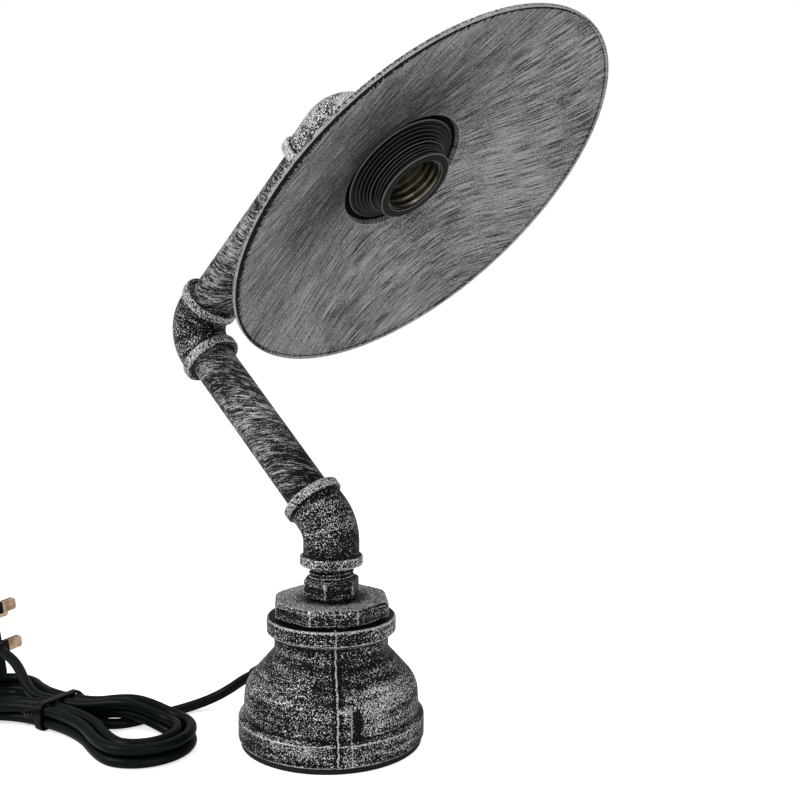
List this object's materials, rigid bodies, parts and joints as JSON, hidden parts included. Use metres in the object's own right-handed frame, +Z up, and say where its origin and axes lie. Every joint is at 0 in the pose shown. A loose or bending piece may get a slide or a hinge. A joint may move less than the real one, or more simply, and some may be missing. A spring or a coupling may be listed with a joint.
{
  "type": "table lamp",
  "caption": "Desk lamp of brushed black pipe and elbows on a bell-shaped cast foot, with swivelling arms, a wide shallow metal shade, a screw lampholder and a tied mains cord with plug.",
  "frame": {"origin": "centre of the foot's resting face, on the table", "axes": "+Z up; the arm lies in the XZ plane, leans to -X at the lower pipe, and the shade faces down and out to +X; +Y is the lamp's far side in the picture"},
  "size_m": [0.3593, 0.1928, 0.3149],
  "materials": {
    "cast_paint": "black paint dry-brushed with silver over rough casting",
    "pipe_paint": "black paint brushed round the pipe with silver",
    "shade_paint": "black paint brushed with long silver strokes",
    "holder_black": "black moulded resin, satin",
    "insert_white": "off-white moulded ceramic",
    "shell_metal": "plated sheet",
    "brass_plain": "plain",
    "pin_brass": "drawn, slightly dull",
    "steel_plain": "zinc plated",
    "cord_black": "smooth black sheath, satin",
    "core_green": "green and yellow insulation",
    "tie_black": "thin twist tie",
    "plug_black": "moulded black, fine satin grain",
    "pad_foam": "black foam pad"
  },
  "bodies": {
    "base": {"base_bell": "cast_paint", "foot_pad": "pad_foam", "reducing_bush": "cast_paint", "hex_nipple": "cast_paint", "strain_relief": "cord_black", "earth_tag": "brass_plain", "earth_screw": "brass_plain", "earth_wire": "core_green", "flex_foot": "cord_black", "cord_lead": "cord_black", "cord_hank": "cord_black", "cord_tail": "cord_black", "cord_tie": "tie_black", "plug_body": "plug_black", "plug_pin_live": "pin_brass", "plug_pin_neutral": "pin_brass", "plug_pin_earth": "pin_brass", "plug_pin_sleeves": "plug_black", "plug_fuse": "insert_white", "plug_fuse_cover": "plug_black"},
    "lower_arm": {"elbow_foot": "cast_paint", "pipe_lower": "pipe_paint", "flex_lower": "cord_black"},
    "upper_arm": {"elbow_middle": "cast_paint", "pipe_upper": "pipe_paint", "flex_upper": "cord_black"},
    "head": {"elbow_head": "cast_paint", "holder_bush": "cast_paint", "threaded_tube": "steel_plain", "tube_nut": "steel_plain", "holder_cap": "holder_black", "holder_skirt": "holder_black", "screw_shell": "shell_metal", "holder_insert": "insert_white", "terminal_screws": "brass_plain", "centre_contact": "brass_plain", "shade": "shade_paint", "flex_head": "cord_black"},
    "ring": {"shade_ring": "holder_black"}
  },
  "joints": [
    {"name": "foot_swivel", "type": "hinge", "parent": "base", "child": "lower_arm", "pos_m": [0, 0, 0.0826], "axis": [0, 0, 1], "range_deg": [-150, 150]},
    {"name": "middle_swivel", "type": "hinge", "parent": "lower_arm", "child": "upper_arm", "pos_m": [-0.08973, 0, 0.19033], "axis": [-0.7071, 0, 0.7071], "range_deg": [-90, 90]},
    {"name": "head_swivel", "type": "hinge", "parent": "upper_arm", "child": "head", "pos_m": [0.00955, 0, 0.28961], "axis": [0.7071, 0, 0.7071], "range_deg": [-90, 90]},
    {"name": "shade_ring_turn", "type": "hinge", "parent": "head", "child": "ring", "pos_m": [0.03783, 0, 0.26132], "axis": [0.7071, 0, -0.7071], "range_deg": [0, 60]}
  ]
}
